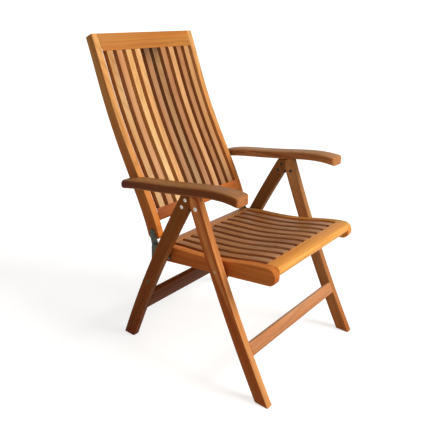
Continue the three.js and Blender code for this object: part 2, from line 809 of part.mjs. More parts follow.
// Bolts: domed head outside, nut in the pocket inside
function leg_bolt(centre, side, radius, head_radius, head_rise) {
  const head_base = leg_outer + touch_gap;
  return on_side(side, [
    [leg_inner + touch_gap, 0],
    [leg_inner + touch_gap, nut_radius],
    [leg_inner + nut_recess, nut_radius],
    [leg_inner + nut_recess, radius],
    [head_base, radius],
    ...dome_profile(head_base, head_radius, head_rise),
  ], centre);
}

sides.forEach(([word, side]) => {
  place(`front_pivot_bolt_${word}`, leg_bolt(
    pivot, side, pivot_bolt_radius, pivot_head_radius, pivot_head_rise,
  ), bright_steel);
  rear_bolts.forEach((centre, i) => place(`rear_leg_bolt_${word}_${i + 1}`, leg_bolt(
    centre, side, leg_bolt_radius, leg_head_radius, leg_head_rise,
  ), bright_steel));
});

// Seat pivot bolts, each with a spacer sleeve between leg and rail
sides.forEach(([word, side]) => {
  const head_base = leg_outer + touch_gap;
  place(`seat_pivot_bolt_${word}`, on_side(side, [
    [seat_rail_inner - touch_gap - seat_nut_thickness, 0],
    [seat_rail_inner - touch_gap - seat_nut_thickness, seat_nut_radius],
    [seat_rail_inner - touch_gap, seat_nut_radius],
    [seat_rail_inner - touch_gap, seat_bolt_radius],
    [seat_half_width + touch_gap, seat_bolt_radius],
    [seat_half_width + touch_gap, sleeve_radius],
    [leg_inner - touch_gap, sleeve_radius],
    [leg_inner - touch_gap, seat_bolt_radius],
    [head_base, seat_bolt_radius],
    ...dome_profile(head_base, seat_head_radius, seat_head_rise),
  ], seat_pivot), bright_steel);
});

// Hinge plates: one on the outer face of the seat rail, one on the outer face of the stile
const stile_middle = behind_back(stile_foot_height + stile_heel_radius, stile_foot_depth / 2);
const plate_lean = Math.atan2(stile_middle[1] - hinge[1], stile_middle[0] - hinge[0]);
const back_plate_top = [
  hinge[0] + back_plate_reach * Math.cos(plate_lean),
  hinge[1] + back_plate_reach * Math.sin(plate_lean),
];
const seat_plate_end = [hinge[0] - seat_plate_reach, hinge[1] - seat_plate_fall];

function hinge_plate(side, inner, outer, outline) {
  const [x_low, x_high] = layer(side, inner, outer);
  const hole = rod(hinge, hinge_pin_radius + pin_play, x_low - cut_overrun, x_high + cut_overrun);
  return cut(side_prism(outline, x_low, x_high), hole);
}

sides.forEach(([word, side]) => {
  const seat_outline = strap_outline(hinge, seat_plate_eye, seat_plate_end, seat_plate_tail);
  const back_outline = strap_outline(hinge, back_plate_eye, back_plate_top, back_plate_head);
  place(`seat_hinge_plate_${word}`, hinge_plate(
    side, seat_plate_inner, seat_plate_outer, seat_outline,
  ), dark_steel);
  place(`back_hinge_plate_${word}`, hinge_plate(
    side, back_plate_inner, back_plate_outer, back_outline,
  ), dark_steel);
  const pin_end = stay_inner - touch_gap;
  const [pin_low, pin_high] = layer(side, seat_plate_inner, pin_end);
  place(`hinge_pin_${word}`, rod(hinge, hinge_pin_radius, pin_low, pin_high), bright_steel);
});

// Stays: a strap from the rear leg up to the hinge, with its own domed rivet at the top
function make_stay(side) {
  const [x_low, x_high] = layer(side, stay_inner, stay_outer);
  const strap = side_prism(strap_outline(hinge, stay_eye, stay_pivot, stay_foot), x_low, x_high);
  const rivet = on_side(side, [
    [(stay_inner + stay_outer) / 2, 0],
    [(stay_inner + stay_outer) / 2, stay_dome_radius],
    [stay_outer, stay_dome_radius],
    ...dome_profile(stay_outer, stay_dome_radius, stay_dome_rise).slice(1),
  ], hinge);
  const hole = rod(stay_pivot, stay_bolt_radius + pin_play, x_low - cut_overrun, x_high + cut_overrun);
  return cut(join(strap, rivet), hole);
}

sides.forEach(([word, side]) => {
  place(`stay_${word}`, make_stay(side), dark_steel);
  const head_base = leg_outer + touch_gap;
  const nut_face = stay_inner - touch_gap;
  place(`stay_bolt_${word}`, on_side(side, [
    [nut_face - plate_thickness, 0],
    [nut_face - plate_thickness, stay_head_radius],
    [nut_face, stay_head_radius],
    [nut_face, stay_bolt_radius],
    [stay_outer + touch_gap, stay_bolt_radius],
    [stay_outer + touch_gap, stay_head_radius],
    [leg_inner - touch_gap, stay_head_radius],
    [leg_inner - touch_gap, stay_bolt_radius],
    [head_base, stay_bolt_radius],
    ...dome_profile(head_base, stay_head_radius, stay_head_rise),
  ], stay_pivot), bright_steel);
});

// Recline studs on the stiles
sides.forEach(([word, side]) => {
  const washer_base = back_half_width + touch_gap;
  place(`recline_stud_${word}`, on_side(side, [
    [back_half_width - stud_root, 0],
    [back_half_width - stud_root, stud_radius],
    [washer_base, stud_radius],
    [washer_base, stud_washer_radius],
    [washer_base + stud_washer_thickness, stud_washer_radius],
    [washer_base + stud_washer_thickness, stud_radius],
    [stud_end, stud_radius],
    [stud_end, 0],
  ], stud_centre), bright_steel);
});

// Racks: an arc of steel in the rabbet of each arm, with a notch for every back position
const step_radians = recline_step_angle * Math.PI / 180;
const notch_angles = spread(0, recline_steps, recline_steps).map((step) => stud_angle + step * step_radians);
const end_angle = rack_end_length / rack_outer_radius;

function rack_outline() {
  const notch_half = stud_radius + pin_play;
  const half_angle = notch_half / rack_inner_radius;
  const crown = rack_inner_radius + rack_notch_depth;
  const first = notch_angles[0] - end_angle;
  const last = notch_angles[notch_angles.length - 1] + end_angle;
  const polar = (radius, angle) => [
    hinge[0] + radius * Math.cos(angle),
    hinge[1] + radius * Math.sin(angle),
  ];
  const teeth = notch_angles.flatMap((angle) => [
    polar(rack_inner_radius, angle - half_angle),
    ...arc_points(
      polar(crown - notch_half, angle), notch_half, angle - Math.PI / 2, angle + Math.PI / 2, arc_steps,
    ),
    polar(rack_inner_radius, angle + half_angle),
  ]);
  return [
    polar(rack_inner_radius, first),
    ...teeth,
    polar(rack_inner_radius, last),
    ...arc_points(hinge, rack_outer_radius, last, first, 2 * arc_steps),
  ];
}

sides.forEach(([word, side]) => {
  const [x_low, x_high] = layer(side, rack_inner, rack_outer);
  place(`recline_rack_${word}`, side_prism(rack_outline(), x_low, x_high), brown_steel);
});

// The origin lies on the floor, below the middle of the chair
const bounds = new THREE.Box3().setFromObject(chair);
chair.position.y = -(bounds.min.y + bounds.max.y) / 2;

export default chair;
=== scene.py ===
# %% [markdown]
# # A folding teak armchair, dressed
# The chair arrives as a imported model: sawn planks with sharp edges, plates, bolts and joints, all
# in metres. This lesson keeps every place and size and gives the chair its looks: edges eased with
# a plane, planks that each come from another part of the log, bright bolt heads and dull hinge
# metal. The frame is loaded first, because everything else is measured from it.

import json
import math

import bpy
import numpy as np
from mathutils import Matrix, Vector


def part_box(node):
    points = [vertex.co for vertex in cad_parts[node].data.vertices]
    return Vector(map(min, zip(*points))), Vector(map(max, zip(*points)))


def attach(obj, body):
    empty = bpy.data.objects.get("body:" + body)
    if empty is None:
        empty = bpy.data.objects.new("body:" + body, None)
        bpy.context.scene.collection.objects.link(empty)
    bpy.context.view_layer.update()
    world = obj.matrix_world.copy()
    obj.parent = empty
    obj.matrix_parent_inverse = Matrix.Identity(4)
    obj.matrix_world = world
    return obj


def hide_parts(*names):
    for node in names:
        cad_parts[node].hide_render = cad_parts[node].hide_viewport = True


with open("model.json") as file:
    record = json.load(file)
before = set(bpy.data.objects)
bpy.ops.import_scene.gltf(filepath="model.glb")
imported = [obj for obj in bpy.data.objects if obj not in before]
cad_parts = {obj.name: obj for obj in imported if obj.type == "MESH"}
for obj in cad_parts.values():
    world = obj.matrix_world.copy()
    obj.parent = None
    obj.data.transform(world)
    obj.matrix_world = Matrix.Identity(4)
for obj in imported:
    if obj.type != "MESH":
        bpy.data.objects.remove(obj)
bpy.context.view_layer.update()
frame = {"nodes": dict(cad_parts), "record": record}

# %% [markdown]
# ## The camera
# The photograph was taken from the front left, a little above the arms. It is as wide as it is
# high, so the lens follows from the focal length in picture widths. A small shift moves the middle
# of the picture without tilting the camera, which keeps upright edges as they are in the
# photograph.

# %% Camera
sensor_width = 36.0
focal_widths = 1.1923
shift_across, shift_up = 0.0153, -0.0503
camera_place = Vector((-1.4034, -1.1279, 1.1605))
camera_gaze = Vector((0.7226, 0.6072, -0.3304))


def aim(name, data, towards):
    """Puts a camera or a lamp into the scene, looking in a direction."""
    thing = bpy.data.objects.new(name, data)
    thing.rotation_euler = towards.to_track_quat("-Z", "Y").to_euler()
    bpy.context.scene.collection.objects.link(thing)
    return thing


lens = bpy.data.cameras.new("photo_camera")
lens.sensor_fit = "HORIZONTAL"
lens.sensor_width = sensor_width
lens.lens = sensor_width * focal_widths
lens.shift_x = shift_across
lens.shift_y = shift_up
camera = aim("photo_camera", lens, camera_gaze)
camera.location = camera_place
bpy.context.scene.camera = camera
print("camera:", round(lens.lens, 1), "mm lens")

# %% [markdown]
# ## From arrays to meshes
# Every new piece below is worked out with numpy as one array of points and one of faces. A grid of
# rings takes the same three steps each time: number its points row by row, join neighbouring rows
# with four-sided faces, and close both ends.

# %% Arrays to meshes
def mesh_piece(name, points, faces):
    """A smooth-shaded mesh object at the origin, from an (n, 3) array and a list of faces."""
    mesh = bpy.data.meshes.new(name)
    mesh.from_pydata(points.tolist(), [], faces)
    mesh.polygons.foreach_set("use_smooth", np.ones(len(mesh.polygons), bool))
    mesh.update()
    piece = bpy.data.objects.new(name, mesh)
    bpy.context.scene.collection.objects.link(piece)
    return piece


def ring_faces(rings, around):
    """Faces of a tube of rings: each ring's points join the next ring's, and both ends close."""
    number = np.arange(rings * around).reshape(rings, around)
    low, high = number[:-1], number[1:]
    quads = np.stack([low, np.roll(low, -1, 1), np.roll(high, -1, 1), high], axis=-1)
    return quads.reshape(-1, 4).tolist() + [number[0, ::-1].tolist(), number[-1].tolist()]


def sharpen(piece, degrees):
    """Marks the edges that turn by more than an angle as sharp, so that flat faces look flat."""
    piece.data.set_sharp_from_angle(angle=math.radians(degrees))
    return piece


print("a tube of 3 rings of 4 has", len(ring_faces(3, 4)), "faces")

# %% [markdown]
# ## Reading a plank's outline from the frame
# A plank's side face is flat, and its rim is the line that the saw followed. The rim needn't be
# typed in again: an edge of the face's triangles that has no partner running the other way lies on
# it, and following each edge to the next walks round it. Bolt holes have rims too, so the largest
# rim is kept.

# %% Outlines
same_place = 1e-5


def node_arrays(node):
    """A CAD node's points with doubles merged, and its triangles as rows of point numbers."""
    mesh = frame["nodes"][node].data
    flat = np.empty(3 * len(mesh.vertices), np.float32)
    mesh.vertices.foreach_get("co", flat)
    corners = np.empty(len(mesh.loops), np.int32)
    mesh.loops.foreach_get("vertex_index", corners)
    points, back = np.unique(flat.reshape(-1, 3).round(6), axis=0, return_inverse=True)
    return points.astype(float), back.ravel()[corners].reshape(-1, 3)


def side_outline(node):
    """The (y, z) rim of the node's face with the greatest x, counter-clockwise as seen from +X."""
    points, triangles = node_arrays(node)
    level = points[:, 0].max()
    face = triangles[(np.abs(points[triangles, 0] - level) < same_place).all(axis=1)]
    edges = np.concatenate([face[:, [0, 1]], face[:, [1, 2]], face[:, [2, 0]]])
    count = len(points)
    alone = ~np.isin(edges[:, 0] * count + edges[:, 1], edges[:, 1] * count + edges[:, 0])
    follow = dict(edges[alone].tolist())
    rims = []
    while follow:
        rim = [next(iter(follow))]
        while rim[-1] in follow:
            rim.append(follow.pop(rim[-1]))
        rims.append(points[rim[:-1], 1:])
    return max(rims, key=lambda rim: np.ptp(rim, axis=0).sum())


print("outline of a rear leg:", len(side_outline("rear_leg_left")), "points")

# %% [markdown]
# ## Easing a plank
# A carpenter takes the sharp corner off every edge with a plane or a router. Bevelling a finished
# mesh would do it too, but it struggles where an outline has short steps. Here the plank is a
# surface of two parameters: one runs round the outline, and the other goes over the edge, across
# the thickness and over the opposite edge. Corners of the outline itself are first rounded with a
# small parabola.

# %% Eased planks
corner_cosine = math.cos(math.radians(20))
gentle_cosine = math.cos(math.radians(4))
edge_share = 0.4
plank_crease = 34


def edges_of(outline):
    """The unit vectors of the edges after and before each point, and the later edge's length."""
    after = np.roll(outline, -1, 0) - outline
    length = np.linalg.norm(after, axis=1, keepdims=True)
    return after / length, np.roll(after / length, 1, 0), length


def clear_corners(outline, radius):
    """Drops points of gentle curves that leave the rounding of a corner near them no room."""
    forward, back, _ = edges_of(outline)
    cosine = (forward * back).sum(axis=1)
    corners = outline[cosine < corner_cosine]
    apart = np.linalg.norm(outline[:, None] - corners, axis=2).min(axis=1, initial=1.0)
    return outline[(cosine < gentle_cosine) | (apart > radius / edge_share)]


def soft_corners(outline, radius, steps=4):
    """Replaces each corner P of an outline that turns by more than 20 degrees by a parabola.

    With unit vectors e and f along the edges before and after the corner, the parabola's point at
    u is P - t(1-u)^2 e + t u^2 f, where t is the radius, but at most a share of either edge.
    """
    outline = clear_corners(outline, radius)
    forward, back, after_length = edges_of(outline)
    turns = (forward * back).sum(axis=1, keepdims=True) < corner_cosine
    room = edge_share * np.minimum(after_length, np.roll(after_length, 1, 0))
    reach = np.where(turns, np.minimum(radius, room), 0)[:, None]
    u = np.linspace(0, 1, steps)[None, :, None]
    start, end = reach * (1 - u) ** 2 * back[:, None], reach * u ** 2 * forward[:, None]
    bent = (outline[:, None] - start + end).reshape(-1, 2)
    fresh = np.linalg.norm(bent - np.roll(bent, 1, 0), axis=1) > same_place
    return bent[fresh]


def stand_in(outline, depth):
    """Moves an outline inwards by a depth, each point along the mitre of its two edges.

    A mitre is at most twice the depth long, so that a needle-sharp corner can't run away.
    """
    forward = edges_of(outline)[0]
    inward = np.stack([-forward[:, 1], forward[:, 0]], axis=1)
    both = inward + np.roll(inward, 1, 0)
    return outline + depth * 2 * both / np.maximum((both * both).sum(axis=1, keepdims=True), 1)


def eased_plank(name, outline, x_low, x_high, ease, steps=4):
    """A plank between two x values, its long edges eased to a quarter round.

    The ring at angle a of an edge stands in from the outline by ease (1 - sin a) and lies
    ease (1 - cos a) behind the side face.
    """
    angle = np.linspace(0, math.pi / 2, steps + 1)
    depth = ease * (1 - np.sin(angle))
    step_in = ease * (1 - np.cos(angle))
    depths = np.concatenate([depth, depth[::-1]])
    levels = np.concatenate([x_low + step_in, x_high - step_in[::-1]])
    rings = np.stack([stand_in(outline, d) for d in depths])
    x = np.broadcast_to(levels[:, None, None], rings.shape[:2] + (1,))
    points = np.concatenate([x, rings], axis=2).reshape(-1, 3)
    piece = mesh_piece(name, points, ring_faces(len(depths), len(outline)))
    return sharpen(piece, plank_crease)


def plank_from_node(node, ease, corner):
    """The CAD plank of that name with its edges and corners eased."""
    low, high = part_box(node)
    outline = soft_corners(side_outline(node), corner)
    return eased_plank(node + "_eased", outline, low.x, high.x, ease)


square = np.array([[0, 0], [1, 0], [1, 1], [0, 1.0]])
print("a soft square has", len(soft_corners(square, 0.1)), "points")

# %% [markdown]
# ## Grain that belongs to the plank
# Teak's figure is a slice through rings that run along the log, so each plank carries its own
# coordinates: the first runs along the plank, and the other two across it, measured from the heart
# of the log. They are stored on the points as an attribute, so the figure turns and folds with the
# plank. Each plank starts at another place in the log, which a golden-ratio step spreads evenly
# without any random numbers.

# %% Grain coordinates and tints
golden_step = 0.618034
log_tilt = 0.035
log_width = 0.05
heart_distance = 0.025
heart_range = 0.06
plank_spacing = 2.3
rail_across = (0, 0.45, 0.89)
# Eased edges from this share of their rounding on turn paler: partly wear, partly a painted
# highlight.
wear_highlight_from = 0.42
plank_count = 0


def share_of(number, salt):
    """An evenly spread share from 0 to 1 for a plank's number."""
    return (number * golden_step + salt * golden_step ** 2) % 1


def put_attribute(piece, name, kind, key, values):
    """Stores one row of values for each point of a piece under a name that materials can read."""
    attribute = piece.data.attributes.new(name, kind, "POINT")
    attribute.data.foreach_set(key, values.astype(np.float32).ravel())


def linear(red, green, blue):
    """A colour given as screen values from 0 to 255, as linear light, by the sRGB curve."""
    screen = np.array([red, green, blue]) / 255
    return np.where(screen > 0.04045, ((screen + 0.055) / 1.055) ** 2.4, screen / 12.92)


def point_rows(piece, key):
    """The places ("co") or the normals ("normal") of a piece's points, as rows."""
    flat = np.empty(3 * len(piece.data.vertices), np.float32)
    piece.data.vertices.foreach_get(key, flat)
    return flat.reshape(-1, 3).astype(float)


def grain_rows(points, along, number):
    """Each point's place along a plank and across it, measured from the heart of its log."""
    along = np.array(along, float) / np.linalg.norm(along)
    across = np.array([1.0, 0, 0]) if abs(along[0]) < 0.5 else np.array(rail_across)
    across = across - along * (across @ along)
    across = across / np.linalg.norm(across)
    through = np.cross(along, across)
    local = (points - points.mean(axis=0)) @ np.stack([along, across, through], axis=1)
    tilt = log_tilt * (share_of(number, 1) - 0.5)
    local[:, 1] += log_width * (share_of(number, 2) - 0.5) + tilt * local[:, 0]
    local[:, 2] += heart_distance + heart_range * share_of(number, 3) + tilt * local[:, 0]
    local[:, 0] += plank_spacing * number
    return local


def give_grain(piece, along, colours):
    """Writes the grain coordinates, the tint and the wear of the edges on every point of a piece.

    The edges' wear is partly real wear and partly a painted highlight. An edge eased by a plane
    turns the normal out of the plank's thickness n, so 2 n sqrt(1 - n^2) is 0 on the flat faces and
    1 in the middle of the easing.
    """
    global plank_count
    plank_count += 1
    points = point_rows(piece, "co")
    sideways = np.clip(np.abs(point_rows(piece, "normal")[:, 0]), 0, 1)
    rounding = 2 * sideways * np.sqrt(1 - sideways ** 2)
    worn = np.clip((rounding - wear_highlight_from) / (1 - wear_highlight_from), 0, 1)
    put_attribute(piece, "grain", "FLOAT_VECTOR", "vector", grain_rows(points, along, plank_count))
    put_attribute(piece, "tint", "FLOAT_COLOR", "color", np.insert(colours, 3, 1.0, axis=1))
    put_attribute(piece, "worn", "FLOAT", "value", worn)


print("mid orange in linear light:", linear(205, 135, 75).round(3))

# %% [markdown]
# ## How a plank ages, and where light and shade are painted
# Sun and rain work on a plank from outside: what looks up goes greyer and paler, partly as
# weathering and partly as a painted sheen. Faces that look away from the light, and the sides of
# slats in the gaps between them, are darkened and reddened as painted shade. The tint changes most
# at the feet and at the ends of the arms, and the arms' rounded rear ends carry painted shade. So a
# plank's tint isn't one colour. It is multiplied by a factor for each of these, with shares that
# come from the place and normal of each point.

# %% Age and painted light
plain = (1.0, 1.0, 1.0)
end_reach = 0.07
screen_power = 2.2


def tint_with_age_and_painted_light(
    piece, tint, up=plain, shaded_flanks=plain, outer=plain, foot=plain, right=plain,
    front=plain, rear=plain, head=plain,
):
    """The tint, given as screen values, on every point of a piece in linear light, as rows.

    It is multiplied by up where the surface looks up: paler and greyer, partly weathering and
    partly a painted sheen, and on the front rail's top a painted shade. It is multiplied by flanks
    where it looks sideways, a painted shade between slats; by outer where it looks away from the
    chair's middle, a painted shade; by foot at the lowest point, fading out to the highest; by
    right at the right end, fading out to the left one, a painted light on the back's bottom rail;
    and by front, rear and head at the ends of that name, fading out over the end's reach. Rear
    paints the shade of the arms' rounded ends and a shadow on the left seat rail.
    """
    points, normals = point_rows(piece, "co"), point_rows(piece, "normal")
    side = math.copysign(1, points[:, 0].mean())
    x, y, z = points[:, :1], points[:, 1:2], points[:, 2:]
    factors = (
        (up, np.clip(normals[:, 2:], 0, 1) ** 2),
        (shaded_flanks, normals[:, :1] ** 4),
        (outer, np.clip(normals[:, :1] * side, 0, 1) ** 2),
        (foot, ((z.max() - z) / np.ptp(z)) ** 2),
        (right, ((x - x.min()) / np.ptp(x)) ** 2),
        (front, np.clip(1 - (y - y.min()) / end_reach, 0, 1)),
        (rear, np.clip(1 - (y.max() - y) / end_reach, 0, 1)),
        (head, np.clip(1 - (z.max() - z) / end_reach, 0, 1)),
    )
    colours = np.tile(linear(*tint), (len(points), 1))
    for factor, share in factors:
        colours = colours * (1 + share * (np.array(factor) ** screen_power - 1))
    return colours


print("a factor of 0.8 on the screen is", round(0.8 ** screen_power, 2), "in linear light")

# %% [markdown]
# ## Shader sums written as sums
# A material is a little program of nodes. Wrapping a socket in a class whose operators add Math
# nodes lets that program be read as the formula that it is. Any other node comes from one method.

# %% Shader expressions
class Wire:
    """A node's output that can be used in sums, or just a way into an empty node tree."""

    def __init__(self, tree, socket=None):
        self.tree = tree
        self.socket = socket

    def make(self, kind, settings=None, inputs=None, output=0):
        """Adds a node of a kind, sets it, fills or links its sockets and gives one output.

        A ramp's two stops are each given as a position and a grey.
        """
        node = self.tree.nodes.new(kind)
        for key, value in (settings or {}).items():
            if key == "stops":
                for element, (position, grey) in zip(node.color_ramp.elements, value):
                    element.position, element.color = position, (grey, grey, grey, 1)
            else:
                setattr(node, key, value)
        for key, value in (inputs or {}).items():
            if isinstance(value, Wire):
                self.tree.links.new(value.socket, node.inputs[key])
            else:
                node.inputs[key].default_value = value
        return Wire(self.tree, node.outputs[output])

    def feed(self, shader, name):
        """Links the output to a shader's socket."""
        self.tree.links.new(self.socket, shader.inputs[name])

    def math(self, operation, first, second=0.0):
        """Adds one Math node."""
        return self.make("ShaderNodeMath", {"operation": operation}, {0: first, 1: second})

    def __add__(self, other):
        return self.math("ADD", self, other)

    def __radd__(self, other):
        return self.math("ADD", other, self)

    def __sub__(self, other):
        return self.math("SUBTRACT", self, other)

    def __rsub__(self, other):
        return self.math("SUBTRACT", other, self)

    def __mul__(self, other):
        return self.math("MULTIPLY", self, other)

    def __rmul__(self, other):
        return self.math("MULTIPLY", other, self)

    def __pow__(self, other):
        return self.math("POWER", self, other)

    def __rpow__(self, other):
        return self.math("POWER", other, self)


def new_material(name):
    """A new material, a wire to start expressions from, and its Principled shader."""
    material = bpy.data.materials.new(name)
    material.use_nodes = True
    tree = material.node_tree
    return material, Wire(tree), tree.nodes["Principled BSDF"]


print("shader sums: + - * ** and their mirrored forms")

# %% [markdown]
# ## Teak
# Oiled teak has three layers of figure. Growth rings show as darker lines where the face cuts
# them, wide and arched on a flat-sawn face and close and straight on a quarter-sawn one. Broad
# streaks of colour drift along the board. Fine open pores run with the grain and break up the
# shine. All three are functions of the grain coordinates, and a plank's own tint multiplies them.
# Noise is stretched by counting its lumps to the metre, few along the grain and many across it.

# %% Teak material
ring_spacing = 0.0046
ring_wander = 16
late_wood_power = 3
pore_depth = 0.16
# Eased edges are blended towards a paler tone: partly wear, partly a painted highlight.
wear_highlight_strength = 0.9
drift_strength = 0.75
light_tone = (1.2, 1.18, 1.12)
warm_tone = (1.1, 0.88, 0.66)
deep_tone = (0.42, 0.3, 0.22)
wear_highlight_tone = (1.5, 1.5, 1.45)
across_only = (0.0, 1.0, 1.0)
pore_dulling, streak_dulling, wear_dulling = 0.14, 0.06, 0.1
relief_depth, relief_strength = 0.0003, 0.25


def teak(name, ring_depth, streak_depth, roughness, gloss=0.14):
    """Teak whose rings and streaks darken the plank's tint by the given depths, from 0 to 1.

    At a distance r from the heart of the log, the late wood of a ring is
    (0.5 + 0.5 sin(2 pi r / spacing + wander)) ^ power.
    """
    material, start, shader = new_material(name)
    grain = start.make("ShaderNodeAttribute", {"attribute_name": "grain"}, output="Vector")
    tint = start.make("ShaderNodeAttribute", {"attribute_name": "tint"}, output="Color")
    worn = start.make("ShaderNodeAttribute", {"attribute_name": "worn"}, output="Fac")

    def scaled(value, factor):
        """A colour or a vector, each of its three numbers multiplied by one of the factor's."""
        return start.make("ShaderNodeVectorMath", {"operation": "MULTIPLY"}, {0: value, 1: factor})

    def noise(along, across, detail, lumps=0.5):
        """Noise with so many lumps to the metre along the grain and across it."""
        place = scaled(grain, (along, across, across))
        inputs = {"Vector": place, "Scale": 1.0, "Detail": detail, "Roughness": lumps}
        return start.make("ShaderNodeTexNoise", {}, inputs, output="Fac")

    def ramp(low, high, value):
        """0 up to one value, 1 from another on, and a straight line between them."""
        return start.make("ShaderNodeValToRGB", {"stops": ((low, 0), (high, 1))}, {"Fac": value})

    def blend(share, first, second):
        """One colour turning into another as the share goes from 0 to 1."""
        settings = {"data_type": "RGBA", "clamp_factor": True}
        return start.make("ShaderNodeMix", settings, {0: share, 6: first, 7: second}, output=2)

    flat = scaled(grain, across_only)
    radius = start.make("ShaderNodeVectorMath", {"operation": "LENGTH"}, {0: flat}, output="Value")
    phase = radius * (2 * math.pi / ring_spacing) + noise(2.2, 14, 2.0) * ring_wander
    late_wood = (0.5 + 0.5 * start.math("SINE", phase)) ** late_wood_power
    streaks = ramp(0.32, 0.72, noise(1.6, 70, 3.0, 0.6))
    pores = ramp(0.54, 0.72, noise(38, 1900, 2.0, 0.65))
    drift = ramp(0.4, 0.64, noise(3.2, 34, 1.0))
    patches = noise(30, 60, 2.0)

    darkness = ring_depth * late_wood + streak_depth * streaks + pore_depth * pores
    ground = blend(drift_strength * drift, scaled(tint, light_tone), scaled(tint, warm_tone))
    figured = blend(darkness, ground, scaled(tint, deep_tone))
    # Eased edges turn paler in patches: partly wear and partly a painted highlight.
    colour = blend(wear_highlight_strength * worn * patches, figured, scaled(tint, wear_highlight_tone))
    colour.feed(shader, "Base Color")
    dull = roughness + pore_dulling * pores + streak_dulling * streaks + wear_dulling * worn
    dull.feed(shader, "Roughness")
    height = 1 - (0.7 * pores + 0.3 * late_wood)
    relief = {"Strength": relief_strength, "Distance": relief_depth, "Height": height}
    start.make("ShaderNodeBump", {}, relief).feed(shader, "Normal")
    shader.inputs["Specular IOR Level"].default_value = gloss
    return material


wood_looks = {
    "teak_dark": (0.26, 0.42, 0.5, 0.05),
    "teak_orange": (0.22, 0.36, 0.42),
    "teak_tan": (0.18, 0.4, 0.48, 0.08),
    "teak_brown": (0.22, 0.5, 0.44),
    "teak_arm": (0.24, 0.5, 0.44, 0.09),
}
woods = {name: teak(name, *look) for name, look in wood_looks.items()}
print("teak finishes:", ", ".join(woods))

# %% [markdown]
# ## Metal
# The bolts are bright plated steel, turned smooth. The hinge plates and stays are dull dark metal
# that has begun to mottle outdoors, and racks and seat bolts have gone brown. All three are
# metallic shaders, and one soft noise in object coordinates changes their colour and their
# roughness together.

# %% Metal materials
mottle_edges = ((0.35, 0), (0.7, 1))
mottle_dulling = 0.18


def metal(name, bright, dull, roughness, grain_size):
    """A metal that drifts from a bright tone to a dull one, which is rougher too."""
    material, start, shader = new_material(name)
    place = start.make("ShaderNodeTexCoord", output="Object")
    inputs = {"Vector": place, "Scale": 1 / grain_size, "Detail": 4.0, "Roughness": 0.6}
    mottle = start.make("ShaderNodeTexNoise", {}, inputs, output="Fac")
    spots = start.make("ShaderNodeValToRGB", {"stops": mottle_edges}, {"Fac": mottle})
    tones = {0: spots, 6: (*linear(*bright), 1), 7: (*linear(*dull), 1)}
    start.make("ShaderNodeMix", {"data_type": "RGBA"}, tones, output=2).feed(shader, "Base Color")
    (roughness + mottle_dulling * spots).feed(shader, "Roughness")
    shader.inputs["Metallic"].default_value = 1.0
    return material


steel_looks = {
    "bright_steel": ((214, 206, 198), (166, 158, 148), 0.3, 0.003),
    "dark_steel": ((80, 82, 74), (46, 47, 41), 0.46, 0.006),
    "brown_steel": ((176, 136, 98), (118, 86, 58), 0.42, 0.005),
}
steels = {name: metal(name, *look) for name, look in steel_looks.items()}
print("metals:", ", ".join(steels))

# %% [markdown]
# ## Handing a piece to the frame
# A finished piece has to say which CAD node it stands for, which body it moves with and which
# finish of the record it takes. The record already knows body and finish for each node, so one
# helper passes them on. Turned fasteners name their finish, because bolt and nut can be of two
# metals.

# %% Dressing a node
body_of_node = {
    node: body
    for body, nodes in frame["record"]["behaviour"]["bodies"].items()
    for node in nodes
}
slot_of_node = {part["node"]: part["material_slot"] for part in frame["record"]["subparts"]}
finishes = {**woods, **steels}
sides = ("left", "right")


def dress(piece, node, finish=None):
    """Puts the piece in the place of a CAD node, with the node's body and finish."""
    finish = finish or slot_of_node[node]
    piece.data.materials.clear()
    piece.data.materials.append(finishes[finish])
    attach(piece, body_of_node[node])
    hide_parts(node)


print("finishes in the record:", ", ".join(sorted(set(slot_of_node.values()))))

# %% [markdown]
# ## The back
# Ten slats stand between two rails, and two stiles hold them. In the photograph no two slats
# match: some are golden, some pinkish, some nearly grey, so each has a tint of its own. The curve
# comes from the CAD outline. The slats' edges are eased by 1.4 mm and the frame's by 2.8 mm, but a
# rail that butts against other wood keeps its edges almost sharp, so that no slot opens at the
# joint.

# %% Back
slat_ease = 0.0014
frame_ease = 0.0028
butt_ease = 0.00012
corner_radius = 0.005
slat_tints = {
    "pale tan": (210, 166, 116),
    "pink tan": (208, 153, 108),
    "golden": (240, 196, 136),
    "pale orange": (234, 186, 130),
    "pinkish": (188, 142, 104),
    "grey tan": (178, 140, 100),
    "rosy brown": (190, 138, 98),
    "light tan": (220, 168, 116),
    "muted tan": (180, 128, 86),
    "warm tan": (204, 152, 102),
}
# The slats' sides are darkened as painted shade between them, and their feet turn a little paler
# and greyer.
slat_age_and_shade = {"shaded_flanks": (0.88, 0.77, 0.6), "foot": (0.98, 1.02, 1.1)}
knotty_slats = (5, 6)
knotty = (0.62, 0.62, 0.66)
stile_orange = (228, 174, 112)
# The stiles' outer faces are darkened as painted shade, and the stiles turn darker and redder
# towards the foot.
stile_age_and_shade = {"outer": (0.82, 0.75, 0.68), "foot": (0.92, 0.72, 0.5)}
clear_orange = (196, 130, 58)
# The bottom rail's tint is darkened as painted shade, and its right end is lightened as painted
# light.
painted_shade_orange = (152, 82, 34)
painted_light_end = (1.4, 1.5, 1.5)


def chord(node):
    """The direction from one end of a plank's outline to the other."""
    outline = side_outline(node)
    spread = outline - outline.mean(axis=0)
    long_way = np.linalg.svd(spread, full_matrices=False)[2][0]
    return [0, *long_way]


def wooden(node, tint, ease=frame_ease, along=None, **age_and_painted_light):
    """An eased plank in place of a CAD node, with its grain along its chord or as told."""
    piece = plank_from_node(node, ease, corner_radius)
    give_grain(piece, along or chord(node), tint_with_age_and_painted_light(piece, tint, **age_and_painted_light))
    dress(piece, node)


def crosswise(node, tint, **age_and_painted_light):
    """A rail or stretcher along x, which butts against other wood at both ends."""
    wooden(node, tint, butt_ease, [1, 0, 0], **age_and_painted_light)


